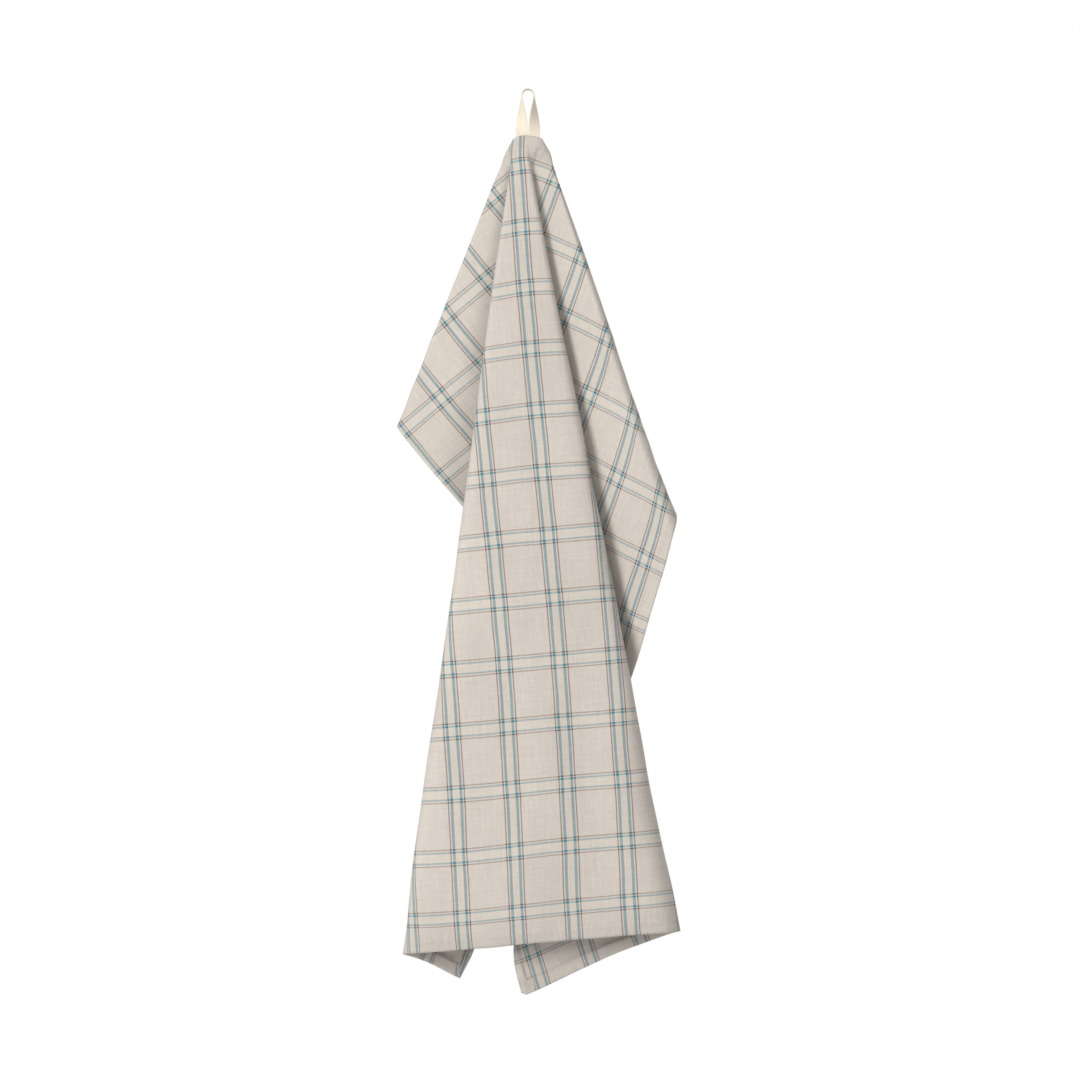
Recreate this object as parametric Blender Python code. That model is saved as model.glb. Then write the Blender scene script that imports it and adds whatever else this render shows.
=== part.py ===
# A checked tea towel that hangs by a tape loop sewn to the middle of one short edge.
# Two pieces: the cloth with its turned hems, and the hanging loop, one length of cotton tape.
# Frame: metres, +Z up. The origin is the inside top of the loop, where a hook would carry it.
# The towel is seen from the front along +Y, with +X to the right.

import math

import bmesh
import bpy
import numpy as np
from mathutils import Vector

# ---- driving dimensions -------------------------------------------------------------------
TOWEL_WIDTH = 0.500          # the short edge, which the loop is sewn to
TOWEL_LENGTH = 0.700         # the long edge, which hangs down
CLOTH_THICKNESS = 0.0010
HEM_THICKNESS = 0.0014       # three layers of cloth, pressed and sewn
SIDE_HEM = 0.008
END_HEM = 0.011
PIECE_GAP = 0.0003

TAPE_WIDTH = 0.0102
TAPE_THICKNESS = 0.0010
LOOP_HEIGHT = 0.041          # from the cloth's top edge up to the inside top of the loop
LOOP_INNER_WIDTH = 0.0096
TAPE_SEWN_LENGTH = 0.0085    # how far each tape end runs down behind the hem
TAPE_LEG_SPACING = 0.0108    # between the centres of the two ends, side by side on the hem

CLOTH_COLOUR = (0.60, 0.53, 0.46, 1.0)
TAPE_COLOUR = (0.83, 0.76, 0.62, 1.0)

# The hung cloth is a fan of straight lines that spread from the sewn part of its top edge.
# A line's cloth angle is measured in the flat towel from straight down, and is negative to
# the left: -90 is the left half of the top edge, 90 the right half. The heading is the way
# the folded cloth runs as seen from above: 0 or 360 is to the right, 180 or 540 to the left,
# 270 towards the front and 450 away. A half turn of the heading is a fold.
# Columns: what the line is, cloth angle in degrees, heading in degrees, and how far behind
# the front panel this layer lies close under the loop, which keeps the layers a little apart.
FOLDS = (
    ("left_corner_behind", -90.0, 187.0, 0.0086),
    ("left_edge_fold_starts", -63.7, 187.0, 0.0086),
    ("left_edge_fold_ends", -60.7, 353.0, 0.0068),
    ("left_flap_turns_in", -54.0, 353.0, 0.0068),
    ("left_flap_bends", -47.0, 370.0, 0.0068),
    ("left_flap_lies_back", -39.0, 365.0, 0.0068),
    ("left_inner_fold_starts", -32.8, 365.0, 0.0068),
    ("left_inner_fold_ends", -29.7, 184.0, 0.0052),
    ("left_return_bends", -24.0, 184.0, 0.0052),
    ("left_return_comes_forward", -21.0, 202.0, 0.0052),
    ("front_left_fold_starts", -14.5, 202.0, 0.0052),
    ("front_left_fold_ends", -11.8, 356.0, 0.0),
    ("front_rises", -4.0, 359.0, 0.0),
    ("front_dip", -2.6, 365.0, 0.0),
    ("front_ridge", -0.9, 358.0, 0.0),
    ("front_falls", 3.0, 361.0, 0.0),
    ("front_right_fold_starts", 5.2, 364.0, 0.0),
    ("front_right_fold_ends", 9.3, 537.0, 0.0022),
    ("right_inner_fold_starts", 19.4, 537.0, 0.0022),
    ("right_inner_fold_ends", 21.8, 355.0, 0.0038),
    ("right_flap_bends", 27.0, 355.0, 0.0038),
    ("right_flap_comes_forward", 31.0, 332.0, 0.0038),
    ("right_edge_fold_starts", 41.8, 332.0, 0.0038),
    ("right_edge_fold_ends", 45.8, 507.0, 0.0098),
    ("back_fold_starts", 72.0, 507.0, 0.0098),
    ("back_fold_ends", 75.2, 349.0, 0.0114),
    ("right_corner_behind", 90.0, 349.0, 0.0114),
)
FRONT_LEAN = 4.5             # degrees that the front panel leans to the right
# Just below the sewn edge there are no folds yet, and the cloth is a narrow open cone.
# Columns: cloth angle in degrees, heading in degrees.
OPEN_CONE = (
    (-90.0, 184.0),
    (-45.0, 268.0),
    (-20.0, 335.0),
    (0.0, 360.0),
    (20.0, 385.0),
    (45.0, 452.0),
    (90.0, 536.0),
)
CONE_DEPTH = 0.7             # how deep the open cone stands, against one that is round
CONE_DEPTH_POWER = 4         # how late that flattening goes as the folds form
# The folds form below the sewn edge, in front first. Columns: cloth angle, distances below the
# edge where the folds begin to form and where they are whole.
FOLDS_FORM = (
    (-90.0, 0.008, 0.048),
    (-64.0, 0.008, 0.044),
    (-30.0, 0.006, 0.040),
    (8.0, 0.006, 0.042),
    (24.0, 0.006, 0.048),
    (46.0, 0.008, 0.042),
    (90.0, 0.008, 0.044),
)
SOFTEN_TURNS = 0.6           # degrees of cloth angle that round off each change of heading

# Where each line starts on the top edge. The edge is straight along the tape ends and turns
# back beyond them. Columns: cloth angle in degrees, distance from the towel's middle at the
# edge itself, distance behind the front there, distance from the middle for the lower cloth.
LINE_STARTS = (
    (-90.0, -0.0116, 0.0058, -0.0164),
    (-62.0, -0.0130, 0.0028, -0.0152),
    (-45.0, -0.0120, 0.0008, -0.0138),
    (-30.0, -0.0104, 0.0, -0.0125),
    (-13.0, -0.0086, 0.0, -0.0112),
    (7.3, 0.0052, 0.0, -0.0022),
    (25.0, 0.0096, 0.0, 0.0050),
    (43.5, 0.0118, 0.0008, 0.0138),
    (60.0, 0.0128, 0.0028, 0.0155),
    (90.0, 0.0116, 0.0058, 0.0165),
)
# The lines aren't quite straight: the cloth sways and sags under its weight. Columns: what
# moves, cloth angle and distance from the edge where it moves most, how far in each that
# reaches, and the way it moves to the right, back and up, in metres.
SWAYS = (
    ("front_panel_sways_left", -3.0, 0.120, 14.0, 0.130, -0.0022, 0.0, 0.0),
    ("front_panel_sways_right", -3.0, 0.440, 14.0, 0.120, 0.0024, 0.0, 0.0),
    ("front_foot_sways_left", -3.0, 0.720, 14.0, 0.100, -0.0042, 0.0, 0.0),
    ("front_panel_is_held_up", 0.0, 0.220, 14.0, 0.170, 0.0, 0.0, 0.0031),
    ("front_left_foot_sags", -9.0, 0.660, 6.0, 0.100, 0.0, 0.0, -0.0026),
    ("front_left_corner_swings_in", -13.0, 0.720, 6.0, 0.080, 0.0066, 0.0, 0.0),
    ("back_right_corner_hangs", 19.6, 0.745, 5.0, 0.060, -0.0015, 0.0, -0.0085),
    ("front_right_edge_draws_in", 8.0, 0.500, 3.0, 0.080, -0.0020, 0.0, 0.0),
    ("front_right_foot_swings_out", 8.0, 0.710, 4.0, 0.090, 0.0034, 0.0, 0.0),
    ("front_hem_curls_back", -4.0, 0.725, 26.0, 0.032, 0.0, 0.010, 0.0),
    ("front_hem_is_drawn_up", -3.0, 0.725, 15.0, 0.034, 0.0, 0.0, 0.0085),
    ("right_flap_sags", 38.0, 0.380, 12.0, 0.160, 0.0024, 0.0, -0.0078),
    ("right_flap_foot_hangs", 31.0, 0.470, 6.0, 0.100, 0.0070, 0.0, -0.0060),
    ("right_edge_draws_in", 44.5, 0.285, 4.0, 0.130, -0.0052, 0.0, 0.0),
    ("left_flap_sways_left", -54.0, 0.230, 12.0, 0.080, -0.0013, 0.0, -0.0012),
)
SEWN_ANGLE = 28.0            # lines up to this cloth angle start where the tape is sewn on
SOFTEN_STARTS = 8.0          # degrees over which the starts are evened out
EDGE_BOW = 0.0005            # how far the middle of the edge stands proud of its ends
EDGE_DROP = 0.0026           # how much lower the sewn edge's two ends are than its middle
EDGE_HALF = 0.0130           # half the length over which the edge drops

# Rows of the cloth's mesh: distances from the top edge down to where the folds are whole,
# then shares of the way on to the hem.
TOP_ROWS = (0.0, 0.0035, 0.006, 0.0085, 0.0105, 0.013, 0.0155, 0.018, 0.0205, 0.023, 0.026,
            0.029, 0.032, 0.035, 0.038, 0.042, 0.047, 0.052)
LOWER_ROWS = 5
FLAT_STEP = 6.5              # degrees of cloth angle between lines where the cloth is flat
TURN_STEP = 24.0             # degrees of heading between lines in a fold
LOOP_ARC_STEPS = 12
LOOP_LEG_STEPS = 10


def remove_all_objects():
    for obj in list(bpy.data.objects):
        bpy.data.objects.remove(obj)


def make_material(name, colour, roughness):
    material = bpy.data.materials.new(name)
    material.use_nodes = True
    shader = material.node_tree.nodes["Principled BSDF"]
    shader.inputs["Base Color"].default_value = colour
    shader.inputs["Roughness"].default_value = roughness
    shader.inputs["Metallic"].default_value = 0.0
    material.diffuse_color = colour
    return material


def add_object(name, mesh, material):
    mesh.materials.append(material)
    mesh.shade_smooth()
    mesh.set_sharp_from_angle(angle=math.radians(40.0))
    obj = bpy.data.objects.new(name, mesh)
    bpy.context.scene.collection.objects.link(obj)
    return obj


# ---- the hung cloth's shape -----------------------------------------------------------------
FINE_STEPS = 3600            # fine lines that the folded shape is added up over
FINE_ANGLES = np.linspace(-90.0, 90.0, FINE_STEPS + 1)


def smooth_step(value, start, end):
    share = np.clip((value - start) / (end - start), 0.0, 1.0)
    return share * share * (3.0 - 2.0 * share)


def softened(angles, values, reach):
    """Read a table's values at every fine angle and even them out over the given reach."""
    offsets = np.linspace(-reach, reach, 9)
    return sum(np.interp(FINE_ANGLES + offset, angles, values) for offset in offsets) / len(offsets)


FOLDED_HEADING = softened([row[1] for row in FOLDS], [row[2] for row in FOLDS], SOFTEN_TURNS)
OPEN_HEADING = softened([row[0] for row in OPEN_CONE], [row[1] for row in OPEN_CONE], SOFTEN_STARTS)
START_ANGLES = [row[0] for row in LINE_STARTS]
SIDE_AT_EDGE = softened(START_ANGLES, [row[1] for row in LINE_STARTS], SOFTEN_STARTS)
BEHIND_AT_EDGE = softened(START_ANGLES, [row[2] for row in LINE_STARTS], SOFTEN_STARTS)
SIDE_BELOW = softened(START_ANGLES, [row[3] for row in LINE_STARTS], SOFTEN_STARTS)
BEHIND_BELOW = softened([row[1] for row in FOLDS], [row[3] for row in FOLDS], SOFTEN_TURNS)


FORM_ANGLES = [row[0] for row in FOLDS_FORM]
BEGIN = np.interp(FINE_ANGLES, FORM_ANGLES, [row[1] for row in FOLDS_FORM])
FORMED = np.interp(FINE_ANGLES, FORM_ANGLES, [row[2] for row in FOLDS_FORM])
ALL_FORMED = float(FORMED.max())


def line_directions(distance):
    """Sideways and backward swing of every fine line, in radians, below the sewn edge.

    Each step along the fan turns a line by the same angle as in the flat towel, so the folded
    cloth keeps its size. The heading says which way that step goes.
    """
    folded = smooth_step(distance, BEGIN, FORMED)
    heading = np.radians(OPEN_HEADING * (1.0 - folded) + FOLDED_HEADING * folded)
    middle_heading = (heading[1:] + heading[:-1]) / 2.0
    step = math.radians(180.0 / FINE_STEPS)
    back = np.concatenate([[0.0], np.cumsum(np.sin(middle_heading) * step)])
    back -= back[FINE_STEPS // 2]
    middle_back = (back[1:] + back[:-1]) / 2.0
    side = np.concatenate([[0.0], np.cumsum(np.cos(middle_heading) * step / np.cos(middle_back))])
    side += math.radians(FRONT_LEAN) * folded[FINE_STEPS // 2] - side[FINE_STEPS // 2]
    flattened = CONE_DEPTH + (1.0 - CONE_DEPTH) * folded ** CONE_DEPTH_POWER
    return side, back * flattened


def line_start(angle, distance):
    """Where a line starts: its distance from the towel's middle, and behind the front."""
    folded = smooth_step(distance, np.interp(angle, FINE_ANGLES, BEGIN),
                         np.interp(angle, FINE_ANGLES, FORMED))
    side_at_edge = np.interp(angle, FINE_ANGLES, SIDE_AT_EDGE)
    side_below = np.interp(angle, FINE_ANGLES, SIDE_BELOW)
    behind_at_edge = np.interp(angle, FINE_ANGLES, BEHIND_AT_EDGE)
    behind_below = np.interp(angle, FINE_ANGLES, BEHIND_BELOW)
    side = side_at_edge * (1.0 - folded) + side_below * folded
    behind = behind_at_edge * (1.0 - folded) + behind_below * folded
    return side, behind


def sway(angle, distance):
    """How far the cloth has moved from its straight lines, to the right, back and up."""
    moved = Vector((0.0, 0.0, 0.0))
    for _, sway_angle, sway_distance, angle_reach, distance_reach, right, back, up in SWAYS:
        off = ((angle - sway_angle) / angle_reach) ** 2 + (
            (distance - sway_distance) / distance_reach) ** 2
        moved += Vector((right, back, up)) * math.exp(-off)
    return moved


def cloth_row(angles, distances):
    """Points of the hung cloth for lines at these cloth angles, each at its own distance."""
    points = []
    swings = {}
    for angle, distance in zip(angles, distances):
        level = min(distance, ALL_FORMED)
        if level not in swings:
            swings[level] = line_directions(level)
        side_swing, back_swing = (np.interp(angle, FINE_ANGLES, swing) for swing in swings[level])
        side, behind = line_start(angle, distance)
        drop = EDGE_DROP * (side / EDGE_HALF) ** 2
        points.append(sway(angle, distance) + Vector((
            side + distance * math.sin(side_swing) * math.cos(back_swing),
            EDGE_Y + behind + distance * math.sin(back_swing),
            EDGE_Z - drop - distance * math.cos(side_swing) * math.cos(back_swing),
        )))
    return points


# The cloth hangs in front of the tape ends, clear of them by the gap between pieces.
EDGE_Y = -(TAPE_THICKNESS / 2.0 + PIECE_GAP + HEM_THICKNESS / 2.0 + EDGE_BOW)
EDGE_Z = -LOOP_HEIGHT


def line_length(angle, side_reach, end_reach):
    """Distance along a line to a rectangle's side or lower edge, given from the towel's middle."""
    start = np.interp(angle, FINE_ANGLES, SIDE_BELOW)
    lengths = []
    if abs(angle) < 89.9:
        lengths.append(end_reach / math.cos(math.radians(angle)))
    if abs(angle) > 1.0:
        side = math.copysign(side_reach, angle)
        lengths.append((side - start) / math.sin(math.radians(angle)))
    return min(length for length in lengths if length > 0.0)


def corner_angle(side_reach, end_reach):
    """Cloth angle of the line that runs to a rectangle's corner; side_reach carries the sign."""
    angle = math.degrees(math.atan2(side_reach, end_reach))
    for _ in range(20):
        start = np.interp(angle, FINE_ANGLES, SIDE_BELOW)
        angle = math.degrees(math.atan2(side_reach - start, end_reach))
    return angle


HALF_WIDTH = TOWEL_WIDTH / 2.0


def mesh_angles():
    """Cloth angles of the mesh's lines: close together in the folds, wide apart between them."""
    angles = [FOLDS[0][1]]
    for row, after in zip(FOLDS, FOLDS[1:]):
        _, start, heading_start, _ = row
        _, end, heading_end, _ = after
        steps = max(
            math.ceil((end - start) / FLAT_STEP),
            math.ceil(abs(heading_end - heading_start) / TURN_STEP),
        )
        angles += [start + (end - start) * k / steps for k in range(1, steps + 1)]
    for side in (-1.0, 1.0):
        corners = (
            corner_angle(side * HALF_WIDTH, TOWEL_LENGTH),
            corner_angle(side * (HALF_WIDTH - SIDE_HEM), TOWEL_LENGTH - END_HEM),
        )
        for corner in corners:
            # The mesh line nearest a corner moves onto it, so the corner stays sharp.
            nearest = min(range(len(angles)), key=lambda k: abs(angles[k] - corner))
            angles[nearest] = corner
    return sorted(angles)


def build_cloth():
    angles = mesh_angles()
    full = [line_length(a, HALF_WIDTH, TOWEL_LENGTH) for a in angles]
    inner = [line_length(a, HALF_WIDTH - SIDE_HEM, TOWEL_LENGTH - END_HEM) for a in angles]
    rows = [[distance] * len(angles) for distance in TOP_ROWS]
    for k in range(1, LOWER_ROWS + 1):
        rows.append([TOP_ROWS[-1] + (reach - TOP_ROWS[-1]) * k / LOWER_ROWS for reach in inner])
    hem_step = HEM_THICKNESS / 2.0
    rows.append([reach + hem_step for reach in inner])
    rows.append(full)

    mesh = bpy.data.meshes.new("towel_cloth")
    shape = bmesh.new()
    grid = [[shape.verts.new(p) for p in cloth_row(angles, row)] for row in rows]
    for upper, lower in zip(grid, grid[1:]):
        for k in range(len(angles) - 1):
            shape.faces.new((upper[k], lower[k], lower[k + 1], upper[k + 1]))
    shape.verts.index_update()
    hem_vertices = [v.index for v in grid[-1] + grid[-2]]
    for distance, row in zip(TOP_ROWS, grid):
        if distance < END_HEM:
            hem_vertices += [v.index for v, angle in zip(row, angles) if abs(angle) < SEWN_ANGLE]
    shape.to_mesh(mesh)
    shape.free()

    obj = add_object("towel_cloth", mesh, make_material("towel_cotton_linen", CLOTH_COLOUR, 0.9))
    hems = obj.vertex_groups.new(name="hems")
    hems.add(hem_vertices, 1.0, "REPLACE")
    thicken = obj.modifiers.new("thickness", "SOLIDIFY")
    thicken.thickness = HEM_THICKNESS
    thicken.offset = 0.0
    thicken.use_even_offset = False
    thicken.vertex_group = "hems"
    thicken.thickness_vertex_group = CLOTH_THICKNESS / HEM_THICKNESS
    return obj


# ---- the hanging loop -----------------------------------------------------------------------
def tape_stations():
    """Centre, direction of the width and outward direction of the tape, from end to end.

    At the top the tape lies over a hook with its width from front to back. Each leg turns a
    quarter on its way down, so both ends lie flat behind the hem, side by side.
    """
    radius = (LOOP_INNER_WIDTH + TAPE_THICKNESS) / 2.0
    arc_z = TAPE_THICKNESS / 2.0 - radius
    stations = []
    for side in (-1.0, 1.0):
        leg = []
        heights = [EDGE_Z - TAPE_SEWN_LENGTH]
        heights += [EDGE_Z + (arc_z - EDGE_Z) * k / LOOP_LEG_STEPS for k in range(LOOP_LEG_STEPS)]
        for z in heights:
            down = min((arc_z - z) / (arc_z - EDGE_Z), 1.0)
            turn = math.radians(90.0) * down
            spread = radius + (TAPE_LEG_SPACING / 2.0 - radius) * down
            centre = Vector((side * spread, 0.0, z))
            outward = Vector((side * math.cos(turn), -math.sin(turn), 0.0))
            width = Vector((side * math.sin(turn), math.cos(turn), 0.0))
            leg.append((centre, width, outward))
        if side < 0.0:
            stations += leg
            for k in range(LOOP_ARC_STEPS + 1):
                angle = math.pi * (1.0 - k / LOOP_ARC_STEPS)
                outward = Vector((math.cos(angle), 0.0, math.sin(angle)))
                centre = Vector((0.0, 0.0, arc_z)) + radius * outward
                stations.append((centre, Vector((0.0, 1.0, 0.0)), outward))
        else:
            # The right leg runs down, and its width keeps the sense that it has at the top.
            stations += leg[::-1]
    return stations


def build_loop():
    mesh = bpy.data.meshes.new("hanging_loop")
    shape = bmesh.new()
    rings = []
    for centre, width, outward in tape_stations():
        half_width = width * (TAPE_WIDTH / 2.0)
        half_thick = outward * (TAPE_THICKNESS / 2.0)
        corners = (half_width + half_thick, -half_width + half_thick,
                   -half_width - half_thick, half_width - half_thick)
        rings.append([shape.verts.new(centre + corner) for corner in corners])
    for lower, upper in zip(rings, rings[1:]):
        for k in range(4):
            after = (k + 1) % 4
            shape.faces.new((lower[k], lower[after], upper[after], upper[k]))
    shape.faces.new(rings[0][::-1])
    shape.faces.new(rings[-1])
    bmesh.ops.recalc_face_normals(shape, faces=shape.faces)
    shape.to_mesh(mesh)
    shape.free()
    return add_object("hanging_loop", mesh, make_material("loop_tape", TAPE_COLOUR, 0.85))


remove_all_objects()
build_cloth()
build_loop()
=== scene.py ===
# A checked tea towel that hangs by its loop. The cloth, the loop and the stitches are made in this
# order, each in a section of its own, and the room for the picture comes last.
# Frame: metres, +Z up, +X to the right, and the towel is seen along +Y. The origin is the
# inside top of the loop.
import math

import bpy
import numpy as np
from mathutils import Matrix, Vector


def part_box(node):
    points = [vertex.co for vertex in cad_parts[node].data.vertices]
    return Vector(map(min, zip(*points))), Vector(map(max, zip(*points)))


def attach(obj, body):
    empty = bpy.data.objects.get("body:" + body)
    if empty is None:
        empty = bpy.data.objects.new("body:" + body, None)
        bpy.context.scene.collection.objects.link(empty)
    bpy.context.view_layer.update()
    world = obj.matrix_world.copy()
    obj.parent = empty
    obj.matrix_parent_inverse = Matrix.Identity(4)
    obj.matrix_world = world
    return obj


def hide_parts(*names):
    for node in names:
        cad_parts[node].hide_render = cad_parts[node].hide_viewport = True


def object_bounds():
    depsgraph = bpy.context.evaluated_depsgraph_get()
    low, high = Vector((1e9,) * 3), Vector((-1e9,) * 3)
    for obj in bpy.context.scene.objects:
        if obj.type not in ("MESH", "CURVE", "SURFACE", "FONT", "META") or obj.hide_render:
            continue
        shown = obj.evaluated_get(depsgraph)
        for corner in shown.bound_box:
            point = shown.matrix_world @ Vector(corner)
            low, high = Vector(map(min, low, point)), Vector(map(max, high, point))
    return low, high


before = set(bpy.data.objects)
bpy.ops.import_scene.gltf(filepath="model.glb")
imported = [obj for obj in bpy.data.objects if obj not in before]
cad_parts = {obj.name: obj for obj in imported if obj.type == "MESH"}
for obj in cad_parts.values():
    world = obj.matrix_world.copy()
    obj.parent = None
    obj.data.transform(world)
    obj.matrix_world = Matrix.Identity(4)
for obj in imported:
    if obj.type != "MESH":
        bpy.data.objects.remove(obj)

cad_low, cad_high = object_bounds()

# ---- the cloth --------------------------------------------------------------------------------
# One rectangle of plain-woven cotton and linen, 50 by 70 cm. Its four edges are turned under
# twice, pressed flat and sewn. It hangs from the middle of one short edge, so it falls in a fan
# of pleats from there, with its two top corners hanging down behind.
CLOTH_WIDTH = 0.500
CLOTH_LENGTH = 0.700
HALF_WIDTH = CLOTH_WIDTH / 2.0
CLOTH_THICKNESS = 0.0006
HEM_THICKNESS = 0.0014       # three layers
SIDE_HEM = 0.008
END_HEM = 0.011
HEM_STEP = 0.00035           # width of the small step where the turned hem ends
EDGE_ROUND = 0.0004          # how far the folded edge stands out between its two faces

# Each line of the fan has a cloth angle, measured in the flat towel from straight down, and a
# heading, the way the cloth runs there as seen from above: 0 or 360 is to the right, 180 or
# 540 to the left, 270 towards the front and 450 away. A half turn is a fold.
# Columns: what the line is, cloth angle, heading, and the layer's place behind the front
# panel close under the loop, in metres.
FOLDS = (
    ("left_corner_behind", -90.0, 187.0, 0.0086),
    ("left_edge_fold_starts", -63.7, 187.0, 0.0086),
    ("left_edge_fold_ends", -60.7, 353.0, 0.0068),
    ("left_flap_turns_in", -54.0, 353.0, 0.0068),
    ("left_flap_bends", -47.0, 370.0, 0.0068),
    ("left_flap_lies_back", -39.0, 365.0, 0.0068),
    ("left_inner_fold_starts", -32.8, 365.0, 0.0068),
    ("left_inner_fold_ends", -29.7, 184.0, 0.0052),
    ("left_return_bends", -24.0, 184.0, 0.0052),
    ("left_return_comes_forward", -21.0, 202.0, 0.0052),
    ("front_left_fold_starts", -14.5, 202.0, 0.0052),
    ("front_left_fold_ends", -11.8, 356.0, 0.0),
    ("front_rises", -4.0, 359.0, 0.0),
    ("front_dip", -2.6, 365.0, 0.0),
    ("front_ridge", -0.9, 358.0, 0.0),
    ("front_falls", 3.0, 361.0, 0.0),
    ("front_right_fold_starts", 5.2, 364.0, 0.0),
    ("front_right_fold_ends", 9.3, 537.0, 0.0022),
    ("right_inner_fold_starts", 19.4, 537.0, 0.0022),
    ("right_inner_fold_ends", 21.8, 355.0, 0.0038),
    ("right_flap_bends", 27.0, 355.0, 0.0038),
    ("right_flap_comes_forward", 31.0, 332.0, 0.0038),
    ("right_edge_fold_starts", 41.8, 332.0, 0.0038),
    ("right_edge_fold_ends", 45.8, 507.0, 0.0098),
    ("back_fold_starts", 72.0, 507.0, 0.0098),
    ("back_fold_ends", 75.2, 349.0, 0.0114),
    ("right_corner_behind", 90.0, 349.0, 0.0114),
)
FRONT_LEAN = 4.5             # degrees that the front panel leans to the right
# Just below the sewn edge the cloth is a narrow open cone. Columns: cloth angle, heading.
OPEN_CONE = (
    (-90.0, 184.0),
    (-45.0, 268.0),
    (-20.0, 335.0),
    (0.0, 360.0),
    (20.0, 385.0),
    (45.0, 452.0),
    (90.0, 536.0),
)
CONE_DEPTH = 0.7             # how deep the open cone stands, against one that is round
CONE_DEPTH_POWER = 4         # how late that flattening goes as the folds form
# The folds form below the sewn edge, in front first. Columns: cloth angle, distances below the
# edge where the folds begin to form and where they are whole.
FOLDS_FORM = (
    (-90.0, 0.008, 0.046),
    (-64.0, 0.006, 0.034),
    (-30.0, 0.006, 0.028),
    (8.0, 0.006, 0.028),
    (24.0, 0.006, 0.034),
    (46.0, 0.008, 0.038),
    (90.0, 0.008, 0.044),
)
# Where each line starts on the top edge. Columns: cloth angle, distance from the towel's middle
# at the edge, distance behind the front there, distance from the middle for the lower cloth.
LINE_STARTS = (
    (-90.0, -0.0116, 0.0058, -0.0164),
    (-62.0, -0.0130, 0.0028, -0.0152),
    (-45.0, -0.0123, 0.0008, -0.0138),
    (-30.0, -0.0114, 0.0, -0.0125),
    (-13.0, -0.0102, 0.0, -0.0112),
    (7.3, -0.0012, 0.0, -0.0022),
    (25.0, 0.0062, 0.0, 0.0050),
    (43.5, 0.0116, 0.0008, 0.0138),
    (60.0, 0.0128, 0.0028, 0.0155),
    (90.0, 0.0116, 0.0058, 0.0165),
)
SOFTEN_TURNS = 0.6           # degrees of cloth angle that round off each change of heading
SOFTEN_STARTS = 8.0          # degrees that even out the starts and the open cone
SOFTEN_READINGS = 9          # readings of a table that make one softened value
EDGE_DROP = 0.0026           # how much lower the sewn edge's two ends are than its middle
EDGE_HALF = 0.0130           # half the length over which the edge drops
EDGE_Y = -0.0020             # the sewn edge's middle layer, in front of the tape ends
EDGE_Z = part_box("towel_cloth")[1].z
# The lines aren't quite straight: the cloth sways and sags under its weight. Columns: what
# moves, cloth angle and distance from the edge where it moves most, how far in each that
# reaches, and the way it moves to the right, back and up, in metres.
SWAYS = (
    ("front_panel_sways_left", -3.0, 0.120, 14.0, 0.130, -0.0022, 0.0, 0.0),
    ("front_panel_sways_right", -3.0, 0.440, 14.0, 0.120, 0.0024, 0.0, 0.0),
    ("front_foot_sways_left", -3.0, 0.720, 14.0, 0.100, -0.0042, 0.0, 0.0),
    ("front_panel_is_held_up", 0.0, 0.220, 14.0, 0.170, 0.0, 0.0, 0.0031),
    ("front_left_foot_sags", -9.0, 0.660, 6.0, 0.100, 0.0, 0.0, -0.0026),
    ("front_left_corner_swings_in", -15.0, 0.720, 2.8, 0.080, 0.0100, 0.0, 0.0),
    ("back_right_corner_hangs", 19.6, 0.745, 5.0, 0.060, -0.0015, 0.0, -0.0085),
    ("front_right_edge_draws_in", 8.0, 0.500, 3.0, 0.080, -0.0020, 0.0, 0.0),
    ("front_right_foot_swings_out", 8.0, 0.710, 4.0, 0.090, 0.0034, 0.0, 0.0),
    ("front_hem_curls_back", -4.0, 0.725, 26.0, 0.032, 0.0, 0.010, 0.0),
    ("front_hem_is_drawn_up", -3.0, 0.725, 15.0, 0.034, 0.0, 0.0, 0.0085),
    ("right_flap_sags", 38.0, 0.380, 12.0, 0.160, 0.0024, 0.0, -0.0078),
    ("right_flap_foot_hangs", 31.0, 0.470, 6.0, 0.100, 0.0070, 0.0, -0.0060),
    ("right_edge_draws_in", 44.5, 0.285, 4.0, 0.130, -0.0052, 0.0, 0.0),
    ("left_flap_sways_left", -54.0, 0.230, 12.0, 0.080, -0.0013, 0.0, -0.0012),
)

FINE_STEPS = 3600            # fine lines that the folded shape is added up over
FINE_ANGLES = np.linspace(-90.0, 90.0, FINE_STEPS + 1)
FOLD_LEVELS = 60             # stages between the open cone and the whole folds


def smooth_step(value, start, end):
    """0 up to the start and 1 from the end on, with a soft rise between them."""
    share = np.clip((value - start) / (end - start), 0.0, 1.0)
    return share * share * (3.0 - 2.0 * share)


def blend(first, second, share):
    """The first at a share of 0, the second at 1."""
    return first * (1.0 - share) + second * share


def softened(angles, values, reach):
    """Read a table's values at every fine angle and even them out over the given reach."""
    offsets = np.linspace(-reach, reach, SOFTEN_READINGS)
    return sum(np.interp(FINE_ANGLES + offset, angles, values) for offset in offsets) / len(offsets)


FOLD_ANGLES = [row[1] for row in FOLDS]
FOLDED_HEADING = softened(FOLD_ANGLES, [row[2] for row in FOLDS], SOFTEN_TURNS)
BEHIND_BELOW = softened(FOLD_ANGLES, [row[3] for row in FOLDS], SOFTEN_TURNS)
OPEN_HEADING = softened([row[0] for row in OPEN_CONE], [row[1] for row in OPEN_CONE], SOFTEN_STARTS)
START_ANGLES = [row[0] for row in LINE_STARTS]
SIDE_AT_EDGE = softened(START_ANGLES, [row[1] for row in LINE_STARTS], SOFTEN_STARTS)
BEHIND_AT_EDGE = softened(START_ANGLES, [row[2] for row in LINE_STARTS], SOFTEN_STARTS)
SIDE_BELOW = softened(START_ANGLES, [row[3] for row in LINE_STARTS], SOFTEN_STARTS)
FORM_ANGLES = [row[0] for row in FOLDS_FORM]
BEGIN = np.interp(FINE_ANGLES, FORM_ANGLES, [row[1] for row in FOLDS_FORM])
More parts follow.
